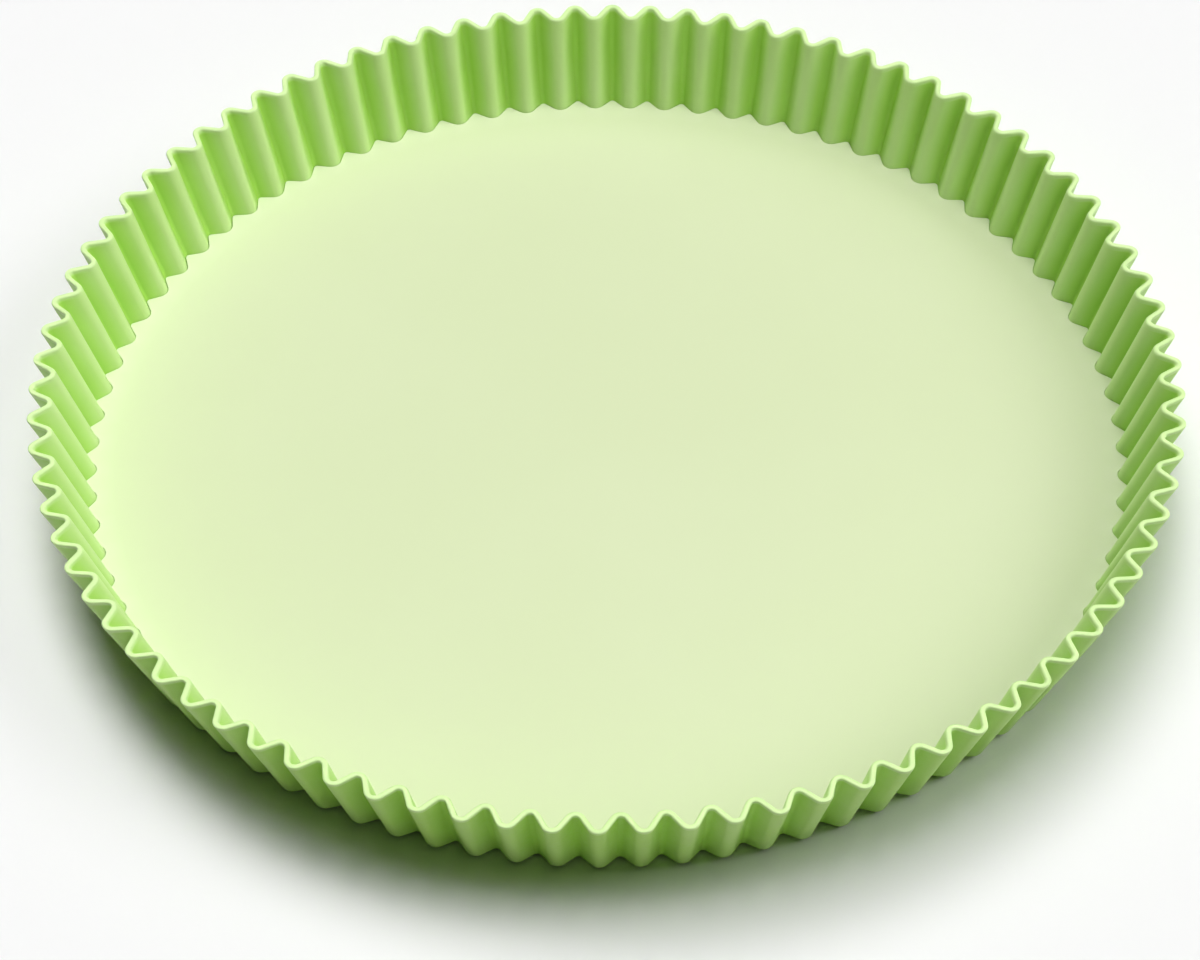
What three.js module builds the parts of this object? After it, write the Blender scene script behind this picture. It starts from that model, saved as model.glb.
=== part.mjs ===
// Ribbed cake mould in two pieces: a fluted ring with an inturned ledge, and a loose base that lifts out.
// Units are millimetres, +Z is up, and the origin is the centre of the underside.
import * as THREE from 'three';

// Thicknesses and depth
const WALL = 1.3; // fluted wall, measured square to its lean
const LEDGE_THICKNESS = 1;
const BASE_THICKNESS = 1;
const WALL_DEPTH = 24.3; // from the floor up to the rim

// Flutes
const FLUTES = 86;
const RIM_RADIUS = 140; // outer crests at the rim
const FOOT_RADIUS = 129.5; // outer crests at the underside
const RIM_FLUTE_DEPTH = 4.8; // crest to root at the rim
const FOOT_FLUTE_DEPTH = 3; // crest to root at the underside
const BEND_RADIUS = 1.8; // middle of the wall at each crest and root

// Seat of the base
const LEDGE_WIDTH = 10; // inwards from the flutes' inner crests
const SEAT_GAP = 0.2; // between the base and the ledge under it
const BASE_CLEARANCE = 0.3; // between the base's edge and the wall

// Facets
const BEND_STEPS = 1; // from the middle of a bend to its end
const CIRCLE_STEPS = 2; // of a plain circle, for each flute

// Levels from the underside up
const BASE_BOTTOM = LEDGE_THICKNESS + SEAT_GAP;
const FLOOR_Z = BASE_BOTTOM + BASE_THICKNESS;
const RIM_Z = FLOOR_Z + WALL_DEPTH;

// Faces of the wall, as level distances outwards from its middle
const WALL_LEAN = Math.atan2(RIM_RADIUS - FOOT_RADIUS, RIM_Z);
const OUTSIDE = WALL / 2 / Math.cos(WALL_LEAN);
const INSIDE = -OUTSIDE;

// One flute of the face that lies offset outside the middle of the wall, as [along, away] pairs.
// Straight flanks run tangent to a bend at the crest and a bend at the root.
function fluteSection(pitch, depth, offset) {
  const half = pitch / 2;
  const drop = depth - 2 * BEND_RADIUS;
  const flank = Math.atan2(drop, half) + Math.asin((2 * BEND_RADIUS) / Math.hypot(half, drop));
  const crestBend = BEND_RADIUS + offset;
  const rootBend = BEND_RADIUS - offset;
  const crestToRoot = [];
  for (let step = 0; step <= BEND_STEPS; step += 1) {
    const turn = (flank * step) / BEND_STEPS;
    crestToRoot.push([crestBend * Math.sin(turn), drop / 2 + crestBend * Math.cos(turn)]);
  }
  for (let step = BEND_STEPS; step >= 0; step -= 1) {
    const turn = (flank * step) / BEND_STEPS;
    crestToRoot.push([half - rootBend * Math.sin(turn), -drop / 2 - rootBend * Math.cos(turn)]);
  }
  const rootToCrest = crestToRoot.slice(1, -1).reverse();
  return [...crestToRoot, ...rootToCrest.map(([along, away]) => [pitch - along, away])];
}

function onCircle(radius, angle, z) {
  return new THREE.Vector3(radius * Math.cos(angle), radius * Math.sin(angle), z);
}

// Middle circle and flute depth of the leaning wall at height z.
function wallAt(z) {
  const depth = THREE.MathUtils.lerp(FOOT_FLUTE_DEPTH, RIM_FLUTE_DEPTH, z / RIM_Z);
  const crest = THREE.MathUtils.lerp(FOOT_RADIUS, RIM_RADIUS, z / RIM_Z);
  return { depth, middle: crest - OUTSIDE - depth / 2 };
}

// Fluted loop at height z, offset outside the middle of the wall.
function fluteLoop(offset, z) {
  const { depth, middle } = wallAt(z);
  const pitch = (2 * Math.PI * middle) / FLUTES;
  const section = fluteSection(pitch, depth, offset);
  const loop = [];
  for (let flute = 0; flute < FLUTES; flute += 1) {
    for (const [along, away] of section) {
      loop.push(onCircle(middle + away, (flute * pitch + along) / middle, z));
    }
  }
  return loop;
}

function circleLoop(radius, z) {
  const count = FLUTES * CIRCLE_STEPS;
  return Array.from({ length: count }, (_, step) => onCircle(radius, (2 * Math.PI * step) / count, z));
}

// Closed skin through loops that run anticlockwise round the section of a ring.
// A band between loops of different counts advances on whichever loop is behind.
function skinOfLoops(loops) {
  const positions = loops.flat().flatMap((point) => point.toArray());
  const index = [];
  let start = 0;
  loops.forEach((loop, order) => {
    const next = loops[(order + 1) % loops.length];
    const nextStart = order + 1 < loops.length ? start + loop.length : 0;
    const here = (step) => start + (step % loop.length);
    const there = (step) => nextStart + (step % next.length);
    let a = 0;
    let b = 0;
    while (a < loop.length || b < next.length) {
      if ((2 * a + 1) * next.length <= (2 * b + 1) * loop.length) {
        index.push(here(a), here(a + 1), there(b));
        a += 1;
      } else {
        index.push(here(a), there(b + 1), there(b));
        b += 1;
      }
    }
    start += loop.length;
  });
  const geometry = new THREE.BufferGeometry();
  geometry.setAttribute('position', new THREE.Float32BufferAttribute(positions, 3));
  geometry.setIndex(index);
  geometry.computeVertexNormals();
  return geometry;
}

// Leaning wall with a flat ledge turned in at its foot.
function flutedRing() {
  const { depth, middle } = wallAt(LEDGE_THICKNESS);
  const ledgeRadius = middle - depth / 2 + INSIDE - LEDGE_WIDTH;
  const geometry = skinOfLoops([
    fluteLoop(OUTSIDE, RIM_Z),
    fluteLoop(INSIDE, RIM_Z),
    fluteLoop(INSIDE, LEDGE_THICKNESS),
    circleLoop(ledgeRadius, LEDGE_THICKNESS),
    circleLoop(ledgeRadius, 0),
    fluteLoop(OUTSIDE, 0),
  ]);
  const finish = new THREE.MeshStandardMaterial({ color: 0xaed378, roughness: 0.45, metalness: 0 });
  const ring = new THREE.Mesh(geometry, finish);
  ring.name = 'fluted_ring';
  return ring;
}

// Flat plate whose edge follows the flutes, laid on the ledge.
function looseBase() {
  const outline = fluteLoop(INSIDE - BASE_CLEARANCE, BASE_BOTTOM);
  const shape = new THREE.Shape(outline.map(({ x, y }) => new THREE.Vector2(x, y)));
  const geometry = new THREE.ExtrudeGeometry(shape, { depth: BASE_THICKNESS, bevelEnabled: false });
  const finish = new THREE.MeshStandardMaterial({ color: 0xe2f0c2, roughness: 0.4, metalness: 0 });
  const base = new THREE.Mesh(geometry, finish);
  base.name = 'loose_base';
  base.position.z = BASE_BOTTOM;
  return base;
}

const group = new THREE.Group();
group.name = 'ribbed_cake_mould';
group.add(flutedRing(), looseBase());

export default group;
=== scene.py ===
"""Ribbed cake mould: a fluted silicone ring and a pale loose base, on a white studio floor."""
import math

import bpy
from mathutils import Matrix, Vector


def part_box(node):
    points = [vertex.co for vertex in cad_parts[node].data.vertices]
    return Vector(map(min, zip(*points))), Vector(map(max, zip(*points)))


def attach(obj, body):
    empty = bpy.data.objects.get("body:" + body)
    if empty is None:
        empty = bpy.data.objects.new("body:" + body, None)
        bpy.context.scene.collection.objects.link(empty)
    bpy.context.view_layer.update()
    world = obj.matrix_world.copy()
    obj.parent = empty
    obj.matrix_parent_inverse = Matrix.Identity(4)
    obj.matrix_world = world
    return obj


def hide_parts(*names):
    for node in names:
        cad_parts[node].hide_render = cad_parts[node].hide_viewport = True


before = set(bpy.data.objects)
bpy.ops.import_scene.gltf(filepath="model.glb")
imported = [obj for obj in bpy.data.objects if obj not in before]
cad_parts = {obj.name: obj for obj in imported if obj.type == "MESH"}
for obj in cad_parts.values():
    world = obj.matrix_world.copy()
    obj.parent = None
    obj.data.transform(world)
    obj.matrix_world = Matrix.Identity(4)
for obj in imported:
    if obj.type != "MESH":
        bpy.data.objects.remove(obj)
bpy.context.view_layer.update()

MM = 0.001

# Levels and radii that the solids give, in metres
RIM_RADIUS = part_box("fluted_ring")[1].x
RIM_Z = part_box("fluted_ring")[1].z
BASE_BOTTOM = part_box("loose_base")[0].z
BASE_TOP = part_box("loose_base")[1].z

# Sizes of the wall and its flutes
FLUTES = 86
WALL = 1.3 * MM
LEDGE_THICKNESS = 1.0 * MM
LEDGE_WIDTH = 10.0 * MM
FOOT_RADIUS = 129.5 * MM
RIM_FLUTE_DEPTH = 4.8 * MM
FOOT_FLUTE_DEPTH = 3.0 * MM
BEND_RADIUS = 1.8 * MM

# Fine edges that only the surface model has
RIM_EDGE = 0.5 * MM
RIM_HIGHLIGHT_REACH = 1.4 * MM  # reach of the painted highlight down from the top of the rim
FOOT_EDGE = 1.8 * MM
LEDGE_EDGE = 0.3 * MM
BASE_EDGE = 0.25 * MM
BASE_SLIT = 0.12 * MM  # between the base and the wall

# Facets of the surface model
BEND_STEPS = 4
SECTION_POINTS = 4 * BEND_STEPS + 2  # of one flute
EDGE_STEPS = 4
BASE_RINGS = 6
FIRST_RING = 0.8  # of the spacing of the rings
SHARP_ANGLE = math.radians(50)

# Camera, from the photograph's perspective
CAMERA_BACK = 641.7 * MM
CAMERA_ABOVE_RIM = 648.2 * MM
CAMERA_TURN = math.radians(-1.006)
CAMERA_PAN = math.radians(0.152)
CAMERA_DOWN = math.radians(46.88)
CAMERA_ROLL = math.radians(-0.624)
CAMERA_LENS = 112.83
CAMERA_SENSOR = 36.0

# Lamps: the share of a level white surface's brightness, then direction and softness in degrees
SKY_SHARE = 0.005
OVERHEAD = {"share": 0.40, "azimuth": 70, "elevation": 82, "softness": 32}

# Lamps on the ring and the base
BACK = {"share": 0.21, "azimuth": 60, "elevation": 65, "softness": 44}
RIGHT = {"share": 0.19, "azimuth": 6, "elevation": 37, "softness": 36}

# Lamps on the ring alone
BACK_LEFT = {"share": 0.22, "azimuth": 128, "elevation": 50, "softness": 40}
FRONT = {"share": 0.11, "azimuth": 296, "elevation": 40, "softness": 40}

# Lamp on the base alone
FRONT_RIGHT = {"share": 0.24, "azimuth": -45, "elevation": 44, "softness": 44}

# Lamps on the studio floor alone
FLOOR_BACK = {"share": 0.44, "azimuth": 106, "elevation": 56, "softness": 30}
FLOOR_RIGHT = {"share": 0.16, "azimuth": 2, "elevation": 40, "softness": 28}

# Linear colours by how much painted light a place gets, from the painted shade of the grooves through the
# painted highlight of the ribs to the palest edges
RING_TONES = [
    (0.0, (0.43, 0.77, 0.11)),
    (0.3, (0.52, 0.83, 0.19)),
    (0.65, (0.62, 0.89, 0.31)),
    (1.0, (0.67, 0.91, 0.39)),
]
BASE_TONES = [(0.0, (0.68, 0.77, 0.455)), (0.5, (0.70, 0.79, 0.485)), (1.0, (0.74, 0.82, 0.535))]
PAPER_TONES = [(0.0, (0.945, 0.945, 0.945)), (1.0, (0.955, 0.955, 0.955))]
PAPER_BOUNCE_TONES = [(0.0, (0.65, 0.65, 0.63)), (1.0, (0.67, 0.67, 0.65))]
OPAQUE = (1.0,)
WHITE = (1.0, 1.0, 1.0, 1.0)

# Painted light at each place, from the painted shade in the grooves to the painted highlight on the ribs
# and edges; the outside ribs get less, and the base's faces keep its own middle tone
GROOVE_PAINTED_SHADE = 0.0
INNER_RIB_HIGHLIGHT = 0.8
OUTER_RIB_HIGHLIGHT = 0.4
EDGE_HIGHLIGHT = 1.0
BASE_FACE_TONE = 0.5
CLOUD_TONE_SHIFT = 0.12  # how far the cloudy tone goes either way

# Surface detail, in patterns for each metre
RING_CLOUDS = 40
BASE_CLOUDS = 14
PAPER_CLOUDS = 6
SHEEN_PATTERN = 900
GRAIN_PATTERN = 1400

# Finer layers that each pattern adds to itself
CLOUD_LAYERS = 4
SHEEN_LAYERS = 3
GRAIN_LAYERS = 2
PAPER_LAYERS = 2

# Strength of the detail
GRAIN_STRENGTH = 0.12
GRAIN_HEIGHT = 0.05 * MM
SHEEN_SPREAD = 0.05  # of the roughness, either way
NOISE_LOW = 0.3  # a noise is seldom lower
NOISE_HIGH = 0.7  # or higher

# Gloss
RING_ROUGHNESS = 0.42
BASE_ROUGHNESS = 0.38
PAPER_ROUGHNESS = 0.9
PAPER_GLOSS = 0.1

# Studio floor, in metres each way
FLOOR_REACH = 8.0

# Faces of the wall, as level distances outwards from its middle
WALL_LEAN = math.atan2(RIM_RADIUS - FOOT_RADIUS, RIM_Z)
OUTSIDE = WALL / 2 / math.cos(WALL_LEAN)
INSIDE = -OUTSIDE


def lerp(low, high, share):
    return low + (high - low) * share


def wall_at(z):
    """Middle radius and flute depth of the leaning wall at height z."""
    depth = lerp(FOOT_FLUTE_DEPTH, RIM_FLUTE_DEPTH, z / RIM_Z)
    crest = lerp(FOOT_RADIUS, RIM_RADIUS, z / RIM_Z)
    return crest - OUTSIDE - depth / 2, depth


def flute_section(pitch, depth, offset):
    """One flute of the face that lies offset outside the middle of the wall, as (along, away) pairs."""
    half = pitch / 2
    drop = depth - 2 * BEND_RADIUS
    flank = math.atan2(drop, half) + math.asin(2 * BEND_RADIUS / math.hypot(half, drop))
    crest_bend = BEND_RADIUS + offset
    root_bend = BEND_RADIUS - offset
    crest_to_root = []
    for step in range(BEND_STEPS + 1):
        turn = flank * step / BEND_STEPS
        crest_to_root.append((crest_bend * math.sin(turn), drop / 2 + crest_bend * math.cos(turn)))
    for step in reversed(range(BEND_STEPS + 1)):
        turn = flank * step / BEND_STEPS
        crest_to_root.append((half - root_bend * math.sin(turn), -drop / 2 - root_bend * math.cos(turn)))
    root_to_crest = [(pitch - along, away) for along, away in reversed(crest_to_root[1:-1])]
    return crest_to_root + root_to_crest


def flute_loop(offset, z):
    """Fluted loop of points at height z, offset outwards from the middle of the wall."""
    middle, depth = wall_at(z)
    pitch = 2 * math.pi * middle / FLUTES
    section = flute_section(pitch, depth, offset)
    loop = []
    for flute in range(FLUTES):
        for along, away in section:
            angle = (flute * pitch + along) / middle
            radius = middle + away
            loop.append((radius * math.cos(angle), radius * math.sin(angle), z))
    return loop


def circle_loop(radius, z):
    """Plain loop with as many points as a fluted one."""
    count = FLUTES * SECTION_POINTS
    turns = [2 * math.pi * step / count for step in range(count)]
    return [(radius * math.cos(turn), radius * math.sin(turn), z) for turn in turns]


def rounding(radius):
    """Rounded edge from the side of a piece to its level face, as (in, from the level face) pairs."""
    turns = [math.pi / 2 * step / EDGE_STEPS for step in range(EDGE_STEPS + 1)]
    return [(radius * (1 - math.cos(turn)), radius * (1 - math.sin(turn))) for turn in turns]


def even_light(painted_light):
    """One painted-light value for every point of a loop."""
    return [painted_light] * (FLUTES * SECTION_POINTS)


def rib_light_and_shade(side, rib_tone):
    """Painted light and shade of a fluted loop: a painted highlight along the ribs that stand out on this
    side of the wall, painted shade in the grooves.
    """
    middle, depth = wall_at(RIM_Z)
    section = flute_section(2 * math.pi * middle / FLUTES, depth, side)
    heights = [away if side > 0 else -away for _, away in section]
    groove, rib = min(heights), max(heights)
    shares = [(height - groove) / (rib - groove) for height in heights]
    return [lerp(GROOVE_PAINTED_SHADE, rib_tone, share) for share in shares] * FLUTES


def band_faces(loops, closed):
    """Quads between loops of equal count; the last loop joins the first where closed."""
    count = len(loops[0])
    faces = []
    for band in range(len(loops) if closed else len(loops) - 1):
        here = band * count
        there = (band + 1) % len(loops) * count
        for step in range(count):
            after = (step + 1) % count
            faces.append((here + step, here + after, there + after, there + step))
    return faces


def mesh_object(name, points, faces, painted_light, material):
    """Smooth object with its points' painted light and shade as an attribute for the material."""
    mesh = bpy.data.meshes.new(name)
    mesh.from_pydata(points, [], faces)
    mesh.attributes.new("painted_light", "FLOAT", "POINT").data.foreach_set("value", painted_light)
    mesh.validate()
    mesh.shade_smooth()
    mesh.set_sharp_from_angle(angle=SHARP_ANGLE)
    mesh.materials.append(material)
    piece = bpy.data.objects.new(name, mesh)
    bpy.context.scene.collection.objects.link(piece)
    weighted = piece.modifiers.new("flat_faces_stay_flat", "WEIGHTED_NORMAL")
    weighted.keep_sharp = True
    return piece


def flat(lists):
    return [item for items in lists for item in items]


def ring_piece(material):
    """Fluted wall with a rounded rim and foot, and the flat ledge turned in under the base."""
    middle, depth = wall_at(LEDGE_THICKNESS)
    ledge_radius = middle - depth / 2 + INSIDE - LEDGE_WIDTH
    below_rim = RIM_Z - RIM_HIGHLIGHT_REACH
    rim = rounding(RIM_EDGE)
    ledge = rounding(LEDGE_EDGE)
    foot = rounding(FOOT_EDGE)
    loops = [flute_loop(OUTSIDE - inwards, RIM_Z - down) for inwards, down in rim]
    loops += [flute_loop(INSIDE + inwards, RIM_Z - down) for inwards, down in reversed(rim)]
    # The rounded rim gets the palest tone, a painted highlight.
    painted_light = [even_light(EDGE_HIGHLIGHT) for _ in loops]
    loops += [flute_loop(INSIDE, below_rim), flute_loop(INSIDE, LEDGE_THICKNESS)]
    # The inner face: a painted highlight on its ribs, painted shade in its grooves.
    painted_light += [rib_light_and_shade(INSIDE, INNER_RIB_HIGHLIGHT), rib_light_and_shade(INSIDE, INNER_RIB_HIGHLIGHT)]
    for inwards, down in reversed(ledge):
        loops.append(circle_loop(ledge_radius + inwards, LEDGE_THICKNESS - down))
    for inwards, up in ledge:
        loops.append(circle_loop(ledge_radius + inwards, up))
    # The ledge under the base gets the grooves' painted shade.
    painted_light += [even_light(GROOVE_PAINTED_SHADE) for _ in ledge + ledge]
    loops += [flute_loop(OUTSIDE - inwards, up) for inwards, up in reversed(foot)]
    loops.append(flute_loop(OUTSIDE, below_rim))
    # The outer face: a weaker painted highlight on its ribs, painted shade in its grooves.
    painted_light += [rib_light_and_shade(OUTSIDE, OUTER_RIB_HIGHLIGHT) for _ in foot]
    painted_light.append(rib_light_and_shade(OUTSIDE, OUTER_RIB_HIGHLIGHT))
    piece = mesh_object("ring_surface", flat(loops), band_faces(loops, closed=True), flat(painted_light), material)
    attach(piece, "ring")
    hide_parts("fluted_ring")
    return piece


def base_piece(material):
    """Flat plate with a rounded edge that follows the flutes, in rings about the middle of each face."""
    edge = INSIDE - BASE_SLIT
    middle, depth = wall_at(BASE_BOTTOM)
    plain_radius = middle - depth / 2 + edge - BASE_EDGE
    radii = [plain_radius * (ring + FIRST_RING) / BASE_RINGS for ring in range(BASE_RINGS)]
    rounded = rounding(BASE_EDGE)
    loops = [circle_loop(radius, BASE_BOTTOM) for radius in radii]
    loops += [flute_loop(edge - inwards, BASE_BOTTOM + up) for inwards, up in reversed(rounded)]
    loops += [flute_loop(edge - inwards, BASE_TOP - down) for inwards, down in rounded]
    loops += [circle_loop(radius, BASE_TOP) for radius in reversed(radii)]
    # The base's faces keep its own middle tone; its rounded edge gets a painted highlight.
    face_tones = [even_light(BASE_FACE_TONE) for _ in radii]
    edge_highlight = [even_light(EDGE_HIGHLIGHT) for _ in rounded + rounded]
    painted_light = flat(face_tones + edge_highlight + face_tones) + [BASE_FACE_TONE, BASE_FACE_TONE]
    points = flat(loops)
    faces = band_faces(loops, closed=False)
    count = len(loops[0])
    under_middle = len(points)
    top_middle = under_middle + 1
    top_start = under_middle - count
    points += [(0, 0, BASE_BOTTOM), (0, 0, BASE_TOP)]
    for step in range(count):
        after = (step + 1) % count
        faces.append((under_middle, after, step))
        faces.append((top_middle, top_start + step, top_start + after))
    piece = mesh_object("base_surface", points, faces, painted_light, material)
    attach(piece, "base")
    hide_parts("loose_base")
    return piece


def noise(tree, place, scale, layers):
    """Noise texture with a pattern of about 1 / scale metres."""
    texture = tree.nodes.new("ShaderNodeTexNoise")
    texture.inputs["Scale"].default_value = scale
    texture.inputs["Detail"].default_value = layers
    tree.links.new(place, texture.inputs["Vector"])
    return texture.outputs["Fac"]


def spread(tree, value, low, high):
    """The middle part of a noise, spread from low to high."""
    remap = tree.nodes.new("ShaderNodeMapRange")
    remap.inputs["From Min"].default_value = NOISE_LOW
    remap.inputs["From Max"].default_value = NOISE_HIGH
    remap.inputs["To Min"].default_value = low
    remap.inputs["To Max"].default_value = high
    tree.links.new(value, remap.inputs["Value"])
    return remap.outputs["Result"]


def ramp(tree, tones, value):
    """Colour of a value between the tones."""
    made = tree.nodes.new("ShaderNodeValToRGB")
    elements = made.color_ramp.elements
    elements.remove(elements[1])
    elements[0].position = tones[0][0]
    elements[0].color = tones[0][1] + OPAQUE
    for position, colour in tones[1:]:
        elements.new(position).color = colour + OPAQUE
    tree.links.new(value, made.inputs["Fac"])
    return made.outputs["Color"]


def satin(name, tones, roughness, clouds):
    """Satin surface: a cloudy tone, paler where a highlight is painted and darker where shade is painted,
    an uneven sheen and a fine grain.
    """
    material = bpy.data.materials.new(name)
    material.use_nodes = True
    tree = material.node_tree
    shader = tree.nodes["Principled BSDF"]
    place = tree.nodes.new("ShaderNodeTexCoord").outputs["Object"]

    # The painted light and shade of each point picks its tone.
    painted_light = tree.nodes.new("ShaderNodeAttribute")
    painted_light.attribute_name = "painted_light"
    cloudy = tree.nodes.new("ShaderNodeMath")
    tree.links.new(painted_light.outputs["Fac"], cloudy.inputs[0])
    cloud = spread(tree, noise(tree, place, clouds, CLOUD_LAYERS), -CLOUD_TONE_SHIFT, CLOUD_TONE_SHIFT)
    tree.links.new(cloud, cloudy.inputs[1])
    tree.links.new(ramp(tree, tones, cloudy.outputs["Value"]), shader.inputs["Base Color"])

    sheen = noise(tree, place, SHEEN_PATTERN, SHEEN_LAYERS)
    rough = spread(tree, sheen, roughness - SHEEN_SPREAD, roughness + SHEEN_SPREAD)
    tree.links.new(rough, shader.inputs["Roughness"])

    grain = tree.nodes.new("ShaderNodeBump")
    grain.inputs["Strength"].default_value = GRAIN_STRENGTH
    grain.inputs["Distance"].default_value = GRAIN_HEIGHT
    tree.links.new(noise(tree, place, GRAIN_PATTERN, GRAIN_LAYERS), grain.inputs["Height"])
    tree.links.new(grain.outputs["Normal"], shader.inputs["Normal"])
    return material


def paper():
    """Matt white paper with a faint cloudy tone, which throws less light back than it shows."""
    material = bpy.data.materials.new("white_paper")
    material.use_nodes = True
    tree = material.node_tree
    shader = tree.nodes["Principled BSDF"]
    place = tree.nodes.new("ShaderNodeTexCoord").outputs["Object"]
    clouds = noise(tree, place, PAPER_CLOUDS, PAPER_LAYERS)
    path = tree.nodes.new("ShaderNodeLightPath")
    seen = path.outputs["Is Camera Ray"]
    for kind in ("Is Glossy Ray", "Is Transmission Ray"):
        either = tree.nodes.new("ShaderNodeMath")
        either.operation = "MAXIMUM"
        tree.links.new(seen, either.inputs[0])
        tree.links.new(path.outputs[kind], either.inputs[1])
        seen = either.outputs["Value"]
    tone = tree.nodes.new("ShaderNodeMix")
    tone.data_type = "RGBA"
    tree.links.new(seen, tone.inputs["Factor"])
    tree.links.new(ramp(tree, PAPER_BOUNCE_TONES, clouds), tone.inputs["A"])
    tree.links.new(ramp(tree, PAPER_TONES, clouds), tone.inputs["B"])
    tree.links.new(tone.outputs["Result"], shader.inputs["Base Color"])
    shader.inputs["Roughness"].default_value = PAPER_ROUGHNESS
    shader.inputs["Specular IOR Level"].default_value = PAPER_GLOSS
    return material


def ground(material):
    """Level floor that the mould stands on."""
    sides = [(-1, -1), (1, -1), (1, 1), (-1, 1)]
    corners = [(x * FLOOR_REACH, y * FLOOR_REACH, 0) for x, y in sides]
    mesh = bpy.data.meshes.new("studio_floor")
    mesh.from_pydata(corners, [], [(0, 1, 2, 3)])
    mesh.materials.append(material)
    floor = bpy.data.objects.new("studio_floor", mesh)
    bpy.context.scene.collection.objects.link(floor)
    return floor


def lamp(name, share, azimuth, elevation, softness):
    """Distant soft lamp that gives a level white surface this share of its brightness."""
    data = bpy.data.lights.new(name, "SUN")
    turn, rise = math.radians(azimuth), math.radians(elevation)
    data.energy = share * math.pi / math.sin(rise)
    data.angle = math.radians(softness)
    towards = Vector((math.cos(turn) * math.cos(rise), math.sin(turn) * math.cos(rise), math.sin(rise)))
    made = bpy.data.objects.new(name, data)
    made.rotation_euler = towards.to_track_quat("Z", "Y").to_euler()
    bpy.context.scene.collection.objects.link(made)
    return made


def light_only(source, pieces):
    """Keeps a lamp's light on some pieces, as flags beside the lamp would."""
    lit = bpy.data.collections.new(source.name + "_lights")
    for piece in pieces:
        lit.objects.link(piece)
    source.light_linking.receiver_collection = lit


def surround():
    """Very dim white sky, so that no shadow is quite black."""
    world = bpy.data.worlds.new("surround")
    world.use_nodes = True
    sky = world.node_tree.nodes["Background"]
    sky.inputs["Color"].default_value = WHITE
    sky.inputs["Strength"].default_value = SKY_SHARE
    bpy.context.scene.world = world


def camera():
    """Camera at the photograph's place and angle."""
    data = bpy.data.cameras.new("photo_camera")
    data.lens = CAMERA_LENS
    data.sensor_width = CAMERA_SENSOR
    made = bpy.data.objects.new("photo_camera", data)
    turn = Matrix.Rotation(CAMERA_TURN, 4, "Z")
    place = Matrix.Translation((0, -CAMERA_BACK, RIM_Z + CAMERA_ABOVE_RIM))
    pan = Matrix.Rotation(CAMERA_PAN, 4, "Z")
    tilt = Matrix.Rotation(math.pi / 2 - CAMERA_DOWN, 4, "X")
    roll = Matrix.Rotation(CAMERA_ROLL, 4, "Z")
    made.matrix_world = turn @ place @ pan @ tilt @ roll
    bpy.context.scene.collection.objects.link(made)
    bpy.context.scene.camera = made


ring = ring_piece(satin("ring_silicone", RING_TONES, RING_ROUGHNESS, RING_CLOUDS))
base = base_piece(satin("base_coating", BASE_TONES, BASE_ROUGHNESS, BASE_CLOUDS))
floor = ground(paper())
surround()
lamp("overhead_softbox", **OVERHEAD)
light_only(lamp("back_softbox", **BACK), [ring, base])
light_only(lamp("right_softbox", **RIGHT), [ring, base])
light_only(lamp("back_left_softbox", **BACK_LEFT), [ring])
light_only(lamp("front_card", **FRONT), [ring])
light_only(lamp("front_right_softbox", **FRONT_RIGHT), [base])
light_only(lamp("floor_back_softbox", **FLOOR_BACK), [floor])
light_only(lamp("floor_right_softbox", **FLOOR_RIGHT), [floor])
camera()
bpy.context.scene.view_settings.view_transform = "Standard"
